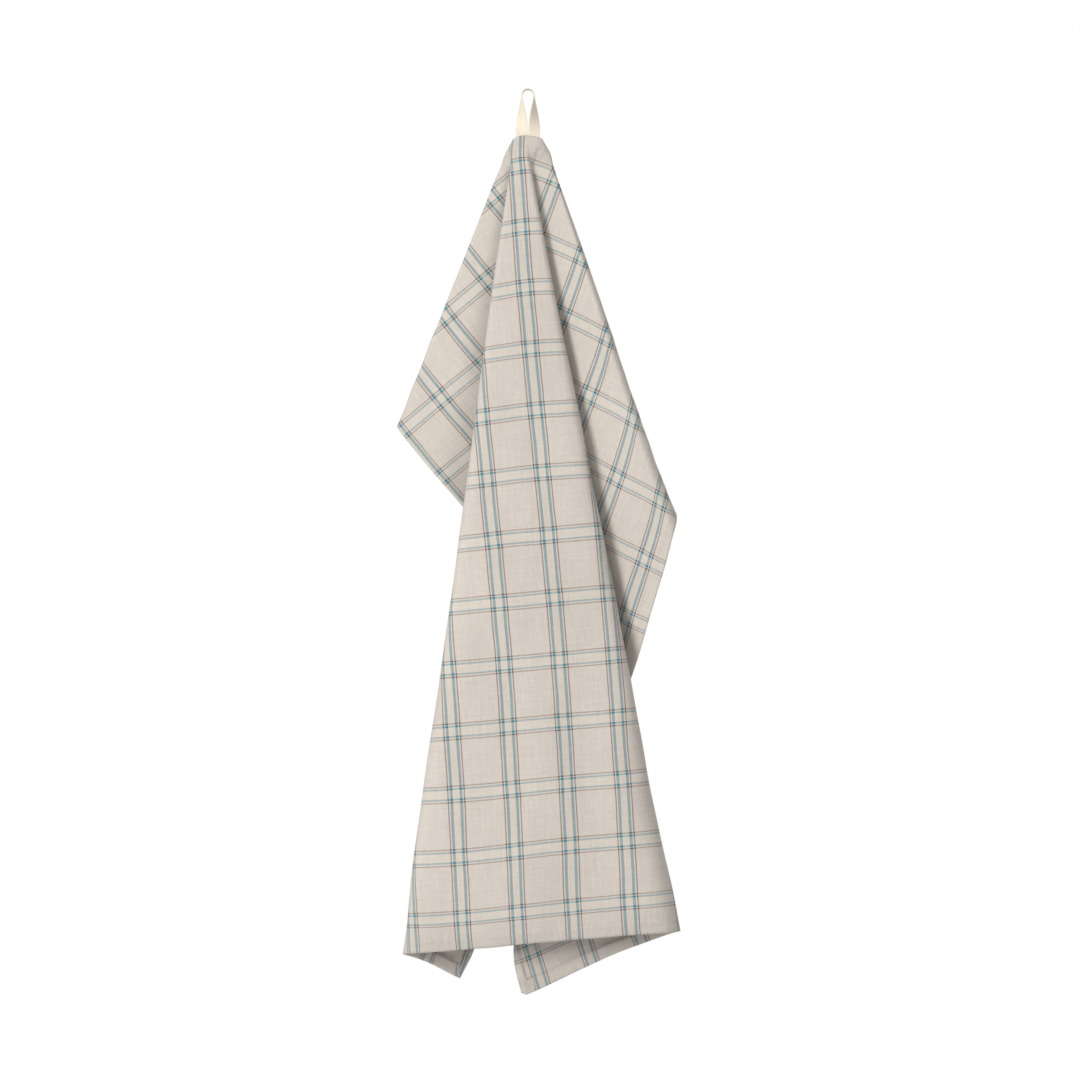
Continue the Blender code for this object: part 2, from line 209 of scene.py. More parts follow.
FORMED = np.interp(FINE_ANGLES, FORM_ANGLES, [row[2] for row in FOLDS_FORM])
ALL_FORMED = FORMED.max()


def read(table, angle):
    """The value of one of the tables above at any cloth angle."""
    return np.interp(angle, FINE_ANGLES, table)


def line_directions(distance):
    """Sideways and backward swing of every fine line, in radians, below the sewn edge."""
    folded = smooth_step(distance, BEGIN, FORMED)
    heading = np.radians(blend(OPEN_HEADING, FOLDED_HEADING, folded))
    middle_heading = (heading[1:] + heading[:-1]) / 2.0
    step = math.radians(180.0 / FINE_STEPS)
    back = np.concatenate([[0.0], np.cumsum(np.sin(middle_heading) * step)])
    back -= back[FINE_STEPS // 2]
    middle_back = (back[1:] + back[:-1]) / 2.0
    side = np.concatenate([[0.0], np.cumsum(np.cos(middle_heading) * step / np.cos(middle_back))])
    side += math.radians(FRONT_LEAN) * folded[FINE_STEPS // 2] - side[FINE_STEPS // 2]
    flattened = CONE_DEPTH + (1.0 - CONE_DEPTH) * folded ** CONE_DEPTH_POWER
    return np.stack([side, back * flattened], axis=-1)


SWING_TABLE = np.array([
    line_directions(ALL_FORMED * k / FOLD_LEVELS) for k in range(FOLD_LEVELS + 1)])


def swings(angle, distance):
    """Sideways and backward swing of lines at any cloth angle and distance below the edge."""
    column = np.clip((angle + 90.0) / 180.0, 0.0, 1.0) * FINE_STEPS
    left = np.minimum(column.astype(int), FINE_STEPS - 1)
    column_share = (column - left)[..., None]
    level = np.minimum(distance / ALL_FORMED, 1.0) * FOLD_LEVELS
    below = np.minimum(level.astype(int), FOLD_LEVELS - 1)
    level_share = (level - below)[..., None]
    lower = blend(SWING_TABLE[below, left], SWING_TABLE[below, left + 1], column_share)
    upper = blend(SWING_TABLE[below + 1, left], SWING_TABLE[below + 1, left + 1], column_share)
    return np.moveaxis(blend(lower, upper, level_share), -1, 0)


def hung_point(angle, distance):
    """Where the middle of the cloth hangs, for cloth angles and distances along the lines."""
    folded = smooth_step(distance, read(BEGIN, angle), read(FORMED, angle))
    side_swing, back_swing = swings(angle, distance)
    side = blend(read(SIDE_AT_EDGE, angle), read(SIDE_BELOW, angle), folded)
    behind = blend(read(BEHIND_AT_EDGE, angle), read(BEHIND_BELOW, angle), folded)
    drop = EDGE_DROP * (side / EDGE_HALF) ** 2
    point = np.stack([
        side + distance * np.sin(side_swing) * np.cos(back_swing),
        EDGE_Y + behind + distance * np.sin(back_swing),
        EDGE_Z - drop - distance * np.cos(side_swing) * np.cos(back_swing),
    ], axis=-1)
    for _, sway_angle, sway_distance, angle_reach, distance_reach, right, back, up in SWAYS:
        share = np.exp(-((angle - sway_angle) / angle_reach) ** 2
                       - ((distance - sway_distance) / distance_reach) ** 2)
        point = point + share[..., None] * np.array((right, back, up))
    return point


NORMAL_TURN = 0.05           # degrees of cloth angle to each side that a normal is taken over
NORMAL_REACH = 0.0002        # metres up and down the line that it is taken over


def outer_normal(angle, distance):
    """Unit normal on the cloth's outer face, which the front panel turns to the viewer."""
    down = hung_point(angle, distance + NORMAL_REACH) - (
        hung_point(angle, np.maximum(distance - NORMAL_REACH, 0.0)))
    right = hung_point(np.minimum(angle + NORMAL_TURN, 90.0), distance) - (
        hung_point(np.maximum(angle - NORMAL_TURN, -90.0), distance))
    normal = np.cross(down, right)
    return normal / np.linalg.norm(normal, axis=-1, keepdims=True)


def flat_place(angle, distance):
    """Place in the flat towel: distance right of its middle, and down from its top edge."""
    turn = np.radians(angle)
    return read(SIDE_BELOW, angle) + distance * np.sin(turn), distance * np.cos(turn)


# Soft creases and hollows in the hanging cloth. Columns: what it is, place to the right of the
# towel's middle and down from its top edge, the way it runs in degrees from straight down,
# half its length, half its width, and its height, negative for a hollow.
CREASES = (
    ("hollow_down_the_front", 0.008, 0.570, 3.0, 0.130, 0.017, -0.0022),
    ("ridge_left_of_it", -0.028, 0.600, -4.0, 0.120, 0.016, 0.0012),
    ("ridge_right_of_it", 0.040, 0.560, 6.0, 0.140, 0.015, 0.0011),
    ("slack_at_front_left", -0.085, 0.560, -9.0, 0.110, 0.020, 0.0014),
    ("hollow_at_mid_height", 0.000, 0.330, 4.0, 0.090, 0.013, -0.0008),
    ("pinch_under_the_loop", 0.0095, 0.0125, -38.0, 0.006, 0.0016, -0.0007),
    ("pinch_left_of_the_loop", -0.0090, 0.0170, 34.0, 0.007, 0.0018, -0.0005),
    ("slant_above_the_hem", -0.020, 0.655, 62.0, 0.022, 0.005, 0.0006),
    ("slant_in_the_lower_check", 0.050, 0.640, -58.0, 0.020, 0.005, 0.0006),
    ("left_flap_hollow", -0.150, 0.210, -38.0, 0.075, 0.014, -0.0014),
    ("left_flap_ridge", -0.185, 0.190, -50.0, 0.060, 0.014, 0.0012),
    ("right_flap_hollow", 0.150, 0.300, 24.0, 0.090, 0.014, -0.0013),
    ("right_flap_ridge", 0.195, 0.300, 33.0, 0.080, 0.016, 0.0012),
    ("right_edge_slack", 0.228, 0.330, 20.0, 0.060, 0.010, 0.0016),
    ("left_corner_curl", -0.200, 0.060, -72.0, 0.050, 0.012, -0.0016),
    ("right_corner_curl", 0.205, 0.050, 76.0, 0.050, 0.012, 0.0016),
    ("back_left_wave", -0.190, 0.520, -20.0, 0.120, 0.020, 0.0020),
    ("back_right_wave", 0.190, 0.560, 20.0, 0.110, 0.020, -0.0020),
    ("left_lower_corner_curl", -0.225, 0.670, -30.0, 0.040, 0.012, -0.0016),
    ("right_lower_corner_curl", 0.220, 0.672, 38.0, 0.040, 0.014, 0.0018),
)
# Broad uneven waves, too slight to be creases. Columns: waves across a metre and down a metre,
# where the wave starts in turns, height.
SLACK = (
    (13.0, 3.0, 0.10, 0.00045),
    (21.0, -5.0, 0.45, 0.00030),
    (-9.0, 8.0, 0.70, 0.00035),
    (33.0, 11.0, 0.25, 0.00016),
)
SLACK_BEGINS = 0.070         # distance below the loop where the cloth is free enough to wave
SLACK_WHOLE = 0.300          # and where it waves freely


def relief(across, down):
    """Height of the creases and the slack over the ruled folds, at places in the flat towel."""
    height = np.zeros_like(across)
    for _, crease_across, crease_down, degrees, half_length, half_width, crease_height in CREASES:
        turn = math.radians(degrees)
        off_across = across - crease_across
        off_down = down - crease_down
        along = off_across * math.sin(turn) + off_down * math.cos(turn)
        beside = off_across * math.cos(turn) - off_down * math.sin(turn)
        height += crease_height * np.exp(-(along / half_length) ** 2 - (beside / half_width) ** 2)
    waves = sum(
        wave_height * np.sin(2.0 * math.pi * (across_waves * across + down_waves * down + start))
        for across_waves, down_waves, start, wave_height in SLACK
    )
    return height + waves * smooth_step(np.hypot(across, down), SLACK_BEGINS, SLACK_WHOLE)


def edge_distance(across, down):
    """How deep inside the hems a place is: over 0 in a hem's width, under 0 inside it."""
    side = SIDE_HEM - (HALF_WIDTH - np.abs(across))
    lower = END_HEM - (CLOTH_LENGTH - down)
    upper = END_HEM - down
    return np.maximum(side, np.maximum(lower, upper))


# Columns of the mesh follow the fan's lines, but next to the top edge they follow its hem.
FLAT_STEP = 0.85             # degrees of cloth angle between columns where the cloth is flat
TURN_STEP = 9.5              # degrees of heading between columns in a fold
COLUMNS_BEND_FROM = 72.0     # cloth angle beyond which columns bend towards the hem
STEP_COLUMN = 83.6           # the column inside the hem's step
HEM_COLUMN = 84.0            # the column on the hem's edge
HEM_FOLLOWED_FROM = 0.060    # distance from the loop where the columns reach the hem's line
TOP_REACH = 0.052            # depth of the rows that are at one distance right across
TOP_ROWS = 27                # rows down to there
LOWER_ROWS = 96              # rows from there to the hem's step
HEM_ROWS = 4                 # rows across the hem
SETTLING_ROUNDS = 60         # rounds in which a column's length or a corner's angle settles
FIRST_LENGTH = 0.3           # a column's length before those rounds
UPRIGHT = 1.0                # degrees within which a column never reaches a side edge
TINY = 1e-9                  # keeps a division from being one by nothing


def column_angle(column, distance):
    """Cloth angle of a column of the mesh at a distance from the sewn edge."""
    reach = np.maximum(distance, HEM_FOLLOWED_FROM)
    inside = np.degrees(np.arccos((END_HEM + HEM_STEP) / reach))
    hem = np.degrees(np.arccos(END_HEM / reach))
    size = np.abs(column)
    to_inside = COLUMNS_BEND_FROM + (size - COLUMNS_BEND_FROM) * (
        (inside - COLUMNS_BEND_FROM) / (STEP_COLUMN - COLUMNS_BEND_FROM))
    to_hem = inside + (size - STEP_COLUMN) * (hem - inside) / (HEM_COLUMN - STEP_COLUMN)
    to_edge = hem + (size - HEM_COLUMN) * (90.0 - hem) / (90.0 - HEM_COLUMN)
    bent = np.where(size < STEP_COLUMN, to_inside, np.where(size < HEM_COLUMN, to_hem, to_edge))
    return np.where(size > COLUMNS_BEND_FROM, np.copysign(bent, column), column)


def column_reach(columns, side_reach, end_reach):
    """Distance along each column to a rectangle's side or lower edge."""
    distance = np.full(len(columns), FIRST_LENGTH)
    for _ in range(SETTLING_ROUNDS):
        angle = column_angle(columns, distance)
        turn = np.radians(angle)
        sideways = np.where(np.abs(angle) > UPRIGHT, np.sin(turn), np.inf)
        to_side = (np.copysign(side_reach, angle) - read(SIDE_BELOW, angle)) / sideways
        to_end = end_reach / np.maximum(np.cos(turn), TINY)
        distance = np.minimum(np.where(to_side > 0.0, to_side, np.inf), to_end)
    return distance


def corner_angle(side_reach, end_reach):
    """Cloth angle of the line that runs to a rectangle's corner; side_reach carries the sign."""
    angle = 0.0
    for _ in range(SETTLING_ROUNDS):
        angle = math.degrees(math.atan2(side_reach - read(SIDE_BELOW, angle), end_reach))
    return angle


def cloth_columns():
    """The mesh's columns: close together in the folds, wide apart between them."""
    columns = [FOLDS[0][1]]
    for row, after in zip(FOLDS, FOLDS[1:]):
        steps = max(
            math.ceil((after[1] - row[1]) / FLAT_STEP),
            math.ceil(abs(after[2] - row[2]) / TURN_STEP),
        )
        columns += [row[1] + (after[1] - row[1]) * k / steps for k in range(1, steps + 1)]
    kept = {-HEM_COLUMN, -STEP_COLUMN, STEP_COLUMN, HEM_COLUMN}
    for side in (-HALF_WIDTH, HALF_WIDTH):
        hem = math.copysign(SIDE_HEM, side)
        kept.add(corner_angle(side, CLOTH_LENGTH))
        kept.add(corner_angle(side - hem, CLOTH_LENGTH - END_HEM))
    for place in kept:
        # The column nearest a corner or a hem's edge moves onto it, so that stays sharp.
        nearest = min(range(len(columns)), key=lambda k: abs(columns[k] - place))
        columns[nearest] = place
    return np.array(sorted(columns))


def cloth_grid():
    """Cloth angles and distances of every row of the mesh, down to the edges."""
    columns = cloth_columns()
    inner = column_reach(columns, HALF_WIDTH - SIDE_HEM - HEM_STEP, CLOTH_LENGTH - END_HEM - HEM_STEP)
    hem = column_reach(columns, HALF_WIDTH - SIDE_HEM, CLOTH_LENGTH - END_HEM)
    full = column_reach(columns, HALF_WIDTH, CLOTH_LENGTH)
    rows = [np.full(len(columns), TOP_REACH * k / TOP_ROWS) for k in range(TOP_ROWS)]
    rows += [TOP_REACH + (inner - TOP_REACH) * k / LOWER_ROWS for k in range(LOWER_ROWS + 1)]
    rows += [hem + (full - hem) * k / HEM_ROWS for k in range(HEM_ROWS + 1)]
    distance = np.array(rows)
    return column_angle(np.broadcast_to(columns, distance.shape), distance), distance


def turned_over(across, down, deep):
    """Where the yarns of a turned hem come from: the cloth runs on round the folded edge."""
    side = (HALF_WIDTH - np.abs(across) < SIDE_HEM + HEM_STEP / 2.0) & (deep > -HEM_STEP / 2.0)
    lower = CLOTH_LENGTH - down < END_HEM + HEM_STEP / 2.0
    upper = down < END_HEM + HEM_STEP / 2.0
    turned_across = np.where(side, np.sign(across) * CLOTH_WIDTH - across, across)
    turned_down = np.where(lower, 2.0 * CLOTH_LENGTH - down, np.where(upper, -down, down))
    return turned_across, turned_down


def folded_edge(outer, inner, normal):
    """Points between the cloth's two faces all round, where its folded edge stands out."""
    middle = (outer + inner) / 2.0
    along = np.roll(middle, -1, axis=0) - np.roll(middle, 1, axis=0)
    outward = np.cross(normal, along)
    outward /= np.maximum(np.linalg.norm(outward, axis=1, keepdims=True), TINY)
    return middle - outward * EDGE_ROUND


def cloth_faces(order, border, rim):
    """Faces of the outer side, of the inner side, and of the folded edge between them."""
    next_border = np.roll(border, -1)
    next_rim = np.roll(rim, -1)
    upper_left, lower_left = order[:-1, :-1].ravel(), order[1:, :-1].ravel()
    lower_right, upper_right = order[1:, 1:].ravel(), order[:-1, 1:].ravel()
    return np.concatenate([
        np.stack([upper_left, lower_left, lower_right, upper_right], axis=1),
        np.stack([upper_right, lower_right, lower_left, upper_left], axis=1) + order.size,
        np.stack([border, rim, next_rim, next_border], axis=1),
        np.stack([rim, border + order.size, next_border + order.size, next_rim], axis=1),
    ])


def add_object(name, data):
    """Put a mesh, a light or a camera into the scene, at the origin."""
    obj = bpy.data.objects.new(name, data)
    bpy.context.scene.collection.objects.link(obj)
    return obj


def make_cloth():
    """The cloth with its turned hems, and with every place's yarns as its UV, in metres."""
    angle, distance = cloth_grid()
    middle = hung_point(angle, distance)
    normal = outer_normal(angle, distance)
    across, down = flat_place(angle, distance)
    deep = edge_distance(across, down)
    height = relief(across, down)[..., None]
    hem_share = np.clip(deep / HEM_STEP + 1.0, 0.0, 1.0)[..., None]
    outer = middle + normal * (height + CLOTH_THICKNESS / 2.0)
    inner = middle + normal * (
        height - CLOTH_THICKNESS / 2.0 - hem_share * (HEM_THICKNESS - CLOTH_THICKNESS))
    outer, inner, normal = outer.reshape(-1, 3), inner.reshape(-1, 3), normal.reshape(-1, 3)

    # The edge runs once round the grid: down the left, along the foot, up the right, and back.
    order = np.arange(angle.size).reshape(angle.shape)
    border = np.concatenate([order[:, 0], order[-1, 1:], order[-2::-1, -1], order[0, -2:0:-1]])
    rim = 2 * angle.size + np.arange(len(border))
    edge = folded_edge(outer[border], inner[border], normal[border])
    mesh = bpy.data.meshes.new("checked_cloth")
    mesh.from_pydata(np.concatenate([outer, inner, edge]).tolist(), [],
                     cloth_faces(order, border, rim).tolist())

    flat = np.stack([across.ravel(), down.ravel()], axis=1)
    turned_across, turned_down = turned_over(across, down, deep)
    turned = np.stack([turned_across.ravel(), turned_down.ravel()], axis=1)
    yarns = np.concatenate([flat, turned, flat[border]])
    corner_points = np.zeros(len(mesh.loops), dtype=np.int32)
    mesh.loops.foreach_get("vertex_index", corner_points)
    layer = mesh.uv_layers.new(name="yarns")
    layer.data.foreach_set("uv", yarns[corner_points].ravel())
    mesh.shade_smooth()
    return add_object("checked_cloth", mesh)


MM = 1000.0                  # millimetres in a metre


class Wire:
    """A socket of a node tree, so that sums on it read as plain expressions."""

    def __init__(self, tree, socket):
        self.tree = tree
        self.socket = socket

    def math(self, operation, *others):
        return self.tree.add("ShaderNodeMath", {"operation": operation},
                             dict(enumerate((self,) + others)))

    def clip(self, low, high):
        return self.math("MAXIMUM", low).math("MINIMUM", high)

    def __add__(self, other):
        return self.math("ADD", other)

    def __sub__(self, other):
        return self.math("SUBTRACT", other)

    def __rsub__(self, other):
        return self.tree.add("ShaderNodeMath", {"operation": "SUBTRACT"}, {0: other, 1: self})

    def __mul__(self, other):
        return self.math("MULTIPLY", other)

    def __truediv__(self, other):
        return self.math("DIVIDE", other)


class Tree:
    """Adds nodes to one node tree. A node's settings are set before its sockets."""

    def __init__(self, tree):
        self.tree = tree

    def add(self, kind, settings=(), sockets=(), outlet=0):
        node = self.tree.nodes.new(kind)
        for name, value in dict(settings).items():
            setattr(node, name, value)
        for place, value in dict(sockets).items():
            self.feed(node.inputs[place], value)
        return Wire(self, node.outputs[outlet])

    def feed(self, inlet, value):
        if isinstance(value, Wire):
            self.tree.links.new(value.socket, inlet)
        else:
            inlet.default_value = value

    def mix(self, share, first, second):
        """Blend two colours."""
        return self.add("ShaderNodeMix", {"data_type": "RGBA"}, {0: share, 6: first, 7: second}, 2)

    def noise(self, place, scale, detail=2.0, roughness=0.5):
        return self.add("ShaderNodeTexNoise", {"noise_dimensions": "2D"},
                        {"Vector": place, "Scale": scale, "Detail": detail, "Roughness": roughness})

    def point(self, x, y):
        return self.add("ShaderNodeCombineXYZ", (), {0: x, 1: y})

    def part(self, point, axis):
        """One of a point's numbers: axis 0, 1 or 2."""
        return self.add("ShaderNodeSeparateXYZ", (), {0: point}, axis)

    def bump(self, height):
        """A bumped normal from a height in millimetres."""
        return self.add("ShaderNodeBump", (), {
            "Strength": 1.0, "Distance": 1.0 / MM, "Height": height})


def new_material(name):
    """A new material, its node tree, and the inlets of its shader."""
    material = bpy.data.materials.new(name)
    material.use_nodes = True
    shader = material.node_tree.nodes["Principled BSDF"]
    return material, Tree(material.node_tree), shader.inputs


# The check, in millimetres: bands of two teal stripes with a fine brown yarn outside each.
WARP_PITCH = 48.0            # from one lengthwise band to the next
WARP_FIRST = -10.6           # the band nearest the towel's middle
WEFT_PITCH = 53.4            # from one crosswise band to the next
WEFT_FIRST = 25.9            # the band nearest the top edge
WARP_TEAL = 4.15             # a band's middle to its teal stripe
WARP_TEAL_WIDTH = 2.45
WARP_BROWN = 7.0             # a band's middle to its brown yarn
WEFT_TEAL = 4.36
WEFT_TEAL_WIDTH = 1.60
WEFT_BROWN = 6.8
BROWN_WIDTH = 1.15
STRIPE_SOFTNESS = 0.3        # width over which a stripe's side fades
CREAM_SHARE = 0.7            # how far the ground turns to cream between two teal stripes

# The weave, in millimetres.
WARP_YARN = 0.62             # from one yarn to the next
WEFT_YARN = 0.66
WARP_SHOWS = 0.56            # share of the face that the lengthwise yarns cover
CROSSING = 0.75              # how sharply one yarn dips under another
WANDER_ACROSS = 1.1          # how far the yarns wander from the straight
WANDER_DOWN = 1.3
SLUB_LENGTH = 26.0           # length over which a yarn grows thick and thin
SLUB_APART = 3.7             # step in the noise from one yarn to the next
STRAW_LENGTH = 2.2
STRAW_WIDTH = 0.5
YARN_HEIGHT = 0.07           # of the thinnest yarns
SLUB_HEIGHT = 0.10           # by which the thickest stand higher
FINE_CRINKLE = 0.34          # heights of the washed linen's fine and broad crinkle
BROAD_CRINKLE = 0.45
PUCKER_WIDTH = 4.5           # along the hem
PUCKER_LENGTH = 22.0         # away from it
END_PUCKERS = 0.80           # height at the end hems and at the side hems
SIDE_PUCKERS = 0.35
END_PULL_REACH = 13.0        # distance from the hem's turned edge at which the puckers end
SIDE_PULL_REACH = 10.0

DARKEST_SHADE = 0.71         # of the thinnest yarns
SLUB_SHADE = 0.48            # by which the thickest are lighter
CLOUD_SHADE = 0.10           # broad uneven light and dark
WARP_BEIGE = (0.610, 0.557, 0.500, 1.0)
WEFT_BEIGE = (0.545, 0.495, 0.443, 1.0)
CREAM = (0.615, 0.555, 0.468, 1.0)
TEAL = (0.030, 0.200, 0.265, 1.0)
BROWN = (0.130, 0.045, 0.022, 1.0)
NEP = (0.66, 0.62, 0.56, 1.0)
STRAW = (0.25, 0.19, 0.13, 1.0)


def band_distance(place, first, pitch):
    """Distance from the middle of the nearest band."""
    turns = (place - first) / pitch
    return ((turns + 0.5).math("FRACT") - 0.5).math("ABSOLUTE") * pitch


def stripe(distance, centre, width):
    """A stripe's share: 1 on the stripe, 0 off it, with soft sides."""
    off = (distance - centre).math("ABSOLUTE")
    return ((width / 2.0 - off) / STRIPE_SOFTNESS + 0.5).clip(0.0, 1.0)


def striped(tree, distance, ground, teal, teal_width, brown):
    """Colour of one set of yarns at a distance from the middle of a band."""
    colour = tree.mix(stripe(distance, 0.0, 2.0 * teal) * CREAM_SHARE, ground, CREAM)
    colour = tree.mix(stripe(distance, teal, teal_width), colour, TEAL)
    return tree.mix(stripe(distance, brown, BROWN_WIDTH), colour, BROWN)


def spots(noise, least, steepness, most):
    """Share of the spots where a noise passes its least value."""
    return ((noise - least) * steepness).clip(0.0, most)


def pull(depth, hem, reach):
    """How strongly a hem gathers the cloth: 1 at its turned edge, 0 out of reach."""
    return 1.0 - ((depth - hem * MM).math("ABSOLUTE") / reach).math("MINIMUM", 1.0)


def checked_weave():
    """Plain weave in beige, teal and brown yarns, with slubs, neps and small creases."""
    material, tree, inlets = new_material("checked_plain_weave")
    flat = tree.add("ShaderNodeUVMap", {"uv_map": "yarns"})
    straight_across = tree.part(flat, 0) * MM
    straight_down = tree.part(flat, 1) * MM
    across = straight_across + (tree.noise(flat, scale=22.0, detail=1.0) - 0.5) * WANDER_ACROSS
    down = straight_down + (tree.noise(flat, scale=17.0) - 0.5) * WANDER_DOWN

    warp_yarns = across / WARP_YARN
    weft_yarns = down / WEFT_YARN
    warp_place = tree.point(warp_yarns.math("FLOOR") * SLUB_APART, down / SLUB_LENGTH)
    weft_place = tree.point(across / SLUB_LENGTH, weft_yarns.math("FLOOR") * SLUB_APART)
    warp_slub = tree.noise(warp_place, scale=1.0, detail=3.0, roughness=0.65)
    weft_slub = tree.noise(weft_place, scale=1.0, detail=3.0, roughness=0.65)
    warp_wave = (warp_yarns * math.pi).math("SINE")
    weft_wave = (weft_yarns * math.pi).math("SINE")
    warp_on_top = (warp_wave * weft_wave * CROSSING + WARP_SHOWS).clip(0.0, 1.0)

    warp_colour = striped(tree, band_distance(across, WARP_FIRST, WARP_PITCH),
                          WARP_BEIGE, WARP_TEAL, WARP_TEAL_WIDTH, WARP_BROWN)
    weft_colour = striped(tree, band_distance(down, WEFT_FIRST, WEFT_PITCH),
                          WEFT_BEIGE, WEFT_TEAL, WEFT_TEAL_WIDTH, WEFT_BROWN)
    colour = tree.mix(warp_on_top, weft_colour, warp_colour)

    # Each yarn is thicker and thinner, lighter and darker along its length.
    slub = warp_slub * warp_on_top + weft_slub * (1.0 - warp_on_top)
    cloudy = tree.noise(flat, scale=9.0)
    shade = slub * SLUB_SHADE + DARKEST_SHADE + (cloudy - 0.5) * CLOUD_SHADE
    colour = tree.add("ShaderNodeVectorMath", {"operation": "SCALE"}, {0: colour, "Scale": shade})
    neps = tree.noise(flat, scale=900.0, detail=1.0)
    straws = tree.noise(tree.point(across / STRAW_LENGTH, down / STRAW_WIDTH), scale=1.0, detail=1.0)
    colour = tree.mix(spots(neps, least=0.72, steepness=14.0, most=0.6), colour, NEP)
    colour = tree.mix(spots(straws, least=0.80, steepness=16.0, most=0.45), colour, STRAW)
    tree.feed(inlets["Base Color"], colour)
    tree.feed(inlets["Roughness"], 0.98 - slub * 0.16)
    inlets["Metallic"].default_value = 0.0
    inlets["Specular IOR Level"].default_value = 0.25
    inlets["Sheen Weight"].default_value = 0.12
    inlets["Sheen Roughness"].default_value = 0.5

    # Heights in millimetres: round yarns, slubs, and the fine crinkle of washed linen, which
    # is gathered into short puckers beside the sewn hems.
    yarns = warp_wave.math("ABSOLUTE") * warp_on_top + (
        weft_wave.math("ABSOLUTE") * (1.0 - warp_on_top))
    yarn_height = yarns * (slub * SLUB_HEIGHT + YARN_HEIGHT)
    fine_crinkle = tree.noise(flat, scale=110.0, detail=3.0, roughness=0.6) * FINE_CRINKLE
    crinkle = fine_crinkle + tree.noise(flat, scale=30.0) * BROAD_CRINKLE
    side_depth = HALF_WIDTH * MM - straight_across.math("ABSOLUTE")
    end_depth = straight_down.math("MINIMUM", CLOTH_LENGTH * MM - straight_down)
    end_place = tree.point(straight_across / PUCKER_WIDTH, straight_down / PUCKER_LENGTH)
    side_place = tree.point(straight_across / PUCKER_LENGTH, straight_down / PUCKER_WIDTH)
    end_puckers = tree.noise(end_place, scale=1.0) * pull(end_depth, END_HEM, END_PULL_REACH)
    side_puckers = tree.noise(side_place, scale=1.0) * pull(side_depth, SIDE_HEM, SIDE_PULL_REACH)
    puckers = end_puckers * END_PUCKERS + side_puckers * SIDE_PUCKERS
    tree.feed(inlets["Normal"], tree.bump(yarn_height + crinkle + puckers))
    return material


cloth = make_cloth()
cloth.data.materials.append(checked_weave())
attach(cloth, "root")
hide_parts("towel_cloth")

# ---- the loop ----------------------------------------------------------------------------------
# One length of unbleached cotton herringbone tape, folded over into a tall loop. At the top it
# lies over what carries it; each leg turns a quarter on its way down, and both ends lie flat
# behind the hem, side by side, where they are sewn down.
TAPE_WIDTH = 0.0102
TAPE_THICKNESS = 0.0009
TAPE_EDGE_THICKNESS = 0.6    # the woven edges' share of the tape's full thickness
TAPE_SEWN_LENGTH = 0.0085
TAPE_LEG_SPACING = 0.0108    # between the middles of the two sewn ends
LOOP_INNER_WIDTH = 0.0096
LOOP_QUARTER_TURN = 90.0     # degrees that each leg turns on its way down
SEWN_FORWARD = 0.0002        # how far the sewn ends are drawn forward against the hem
SEWN_FORWARD_POWER = 8       # how late on its way down a leg is drawn forward
LOOP_ARC_STEPS = 32
LOOP_LEG_STEPS = 44
TAPE_SEWN_STEPS = 6
TAPE_ACROSS_STEPS = 10
SHARP_TURN = 40.0            # degrees beyond which an edge between two faces is sharp


def tape_leg(side, radius, arc_z):
    """Stations of one leg, from its sewn end up to the arc; side is -1 or 1."""
    heights = [EDGE_Z - TAPE_SEWN_LENGTH * k / TAPE_SEWN_STEPS for k in range(TAPE_SEWN_STEPS, 0, -1)]
    heights += [EDGE_Z + (arc_z - EDGE_Z) * k / LOOP_LEG_STEPS for k in range(LOOP_LEG_STEPS)]
    leg = []
    for z in heights:
        down = min((arc_z - z) / (arc_z - EDGE_Z), 1.0)
        turn = math.radians(LOOP_QUARTER_TURN) * down
        spread = radius + (TAPE_LEG_SPACING / 2.0 - radius) * down
        centre = np.array((side * spread, -SEWN_FORWARD * down ** SEWN_FORWARD_POWER, z))
        outward = np.array((side * math.cos(turn), -math.sin(turn), 0.0))
        width = np.array((side * math.sin(turn), math.cos(turn), 0.0))
        leg.append((centre, width, outward))
    return leg


def tape_stations():
    """Centre, direction of the width and outward direction of the tape, from end to end."""
    radius = (LOOP_INNER_WIDTH + TAPE_THICKNESS) / 2.0
    arc_z = -LOOP_INNER_WIDTH / 2.0
    arc = []
    for k in range(LOOP_ARC_STEPS + 1):
        angle = math.pi * (1.0 - k / LOOP_ARC_STEPS)
        outward = np.array((math.cos(angle), 0.0, math.sin(angle)))
        centre = np.array((0.0, 0.0, arc_z)) + radius * outward
        arc.append((centre, np.array((0.0, 1.0, 0.0)), outward))
    return tape_leg(-1.0, radius, arc_z) + arc + tape_leg(1.0, radius, arc_z)[::-1]


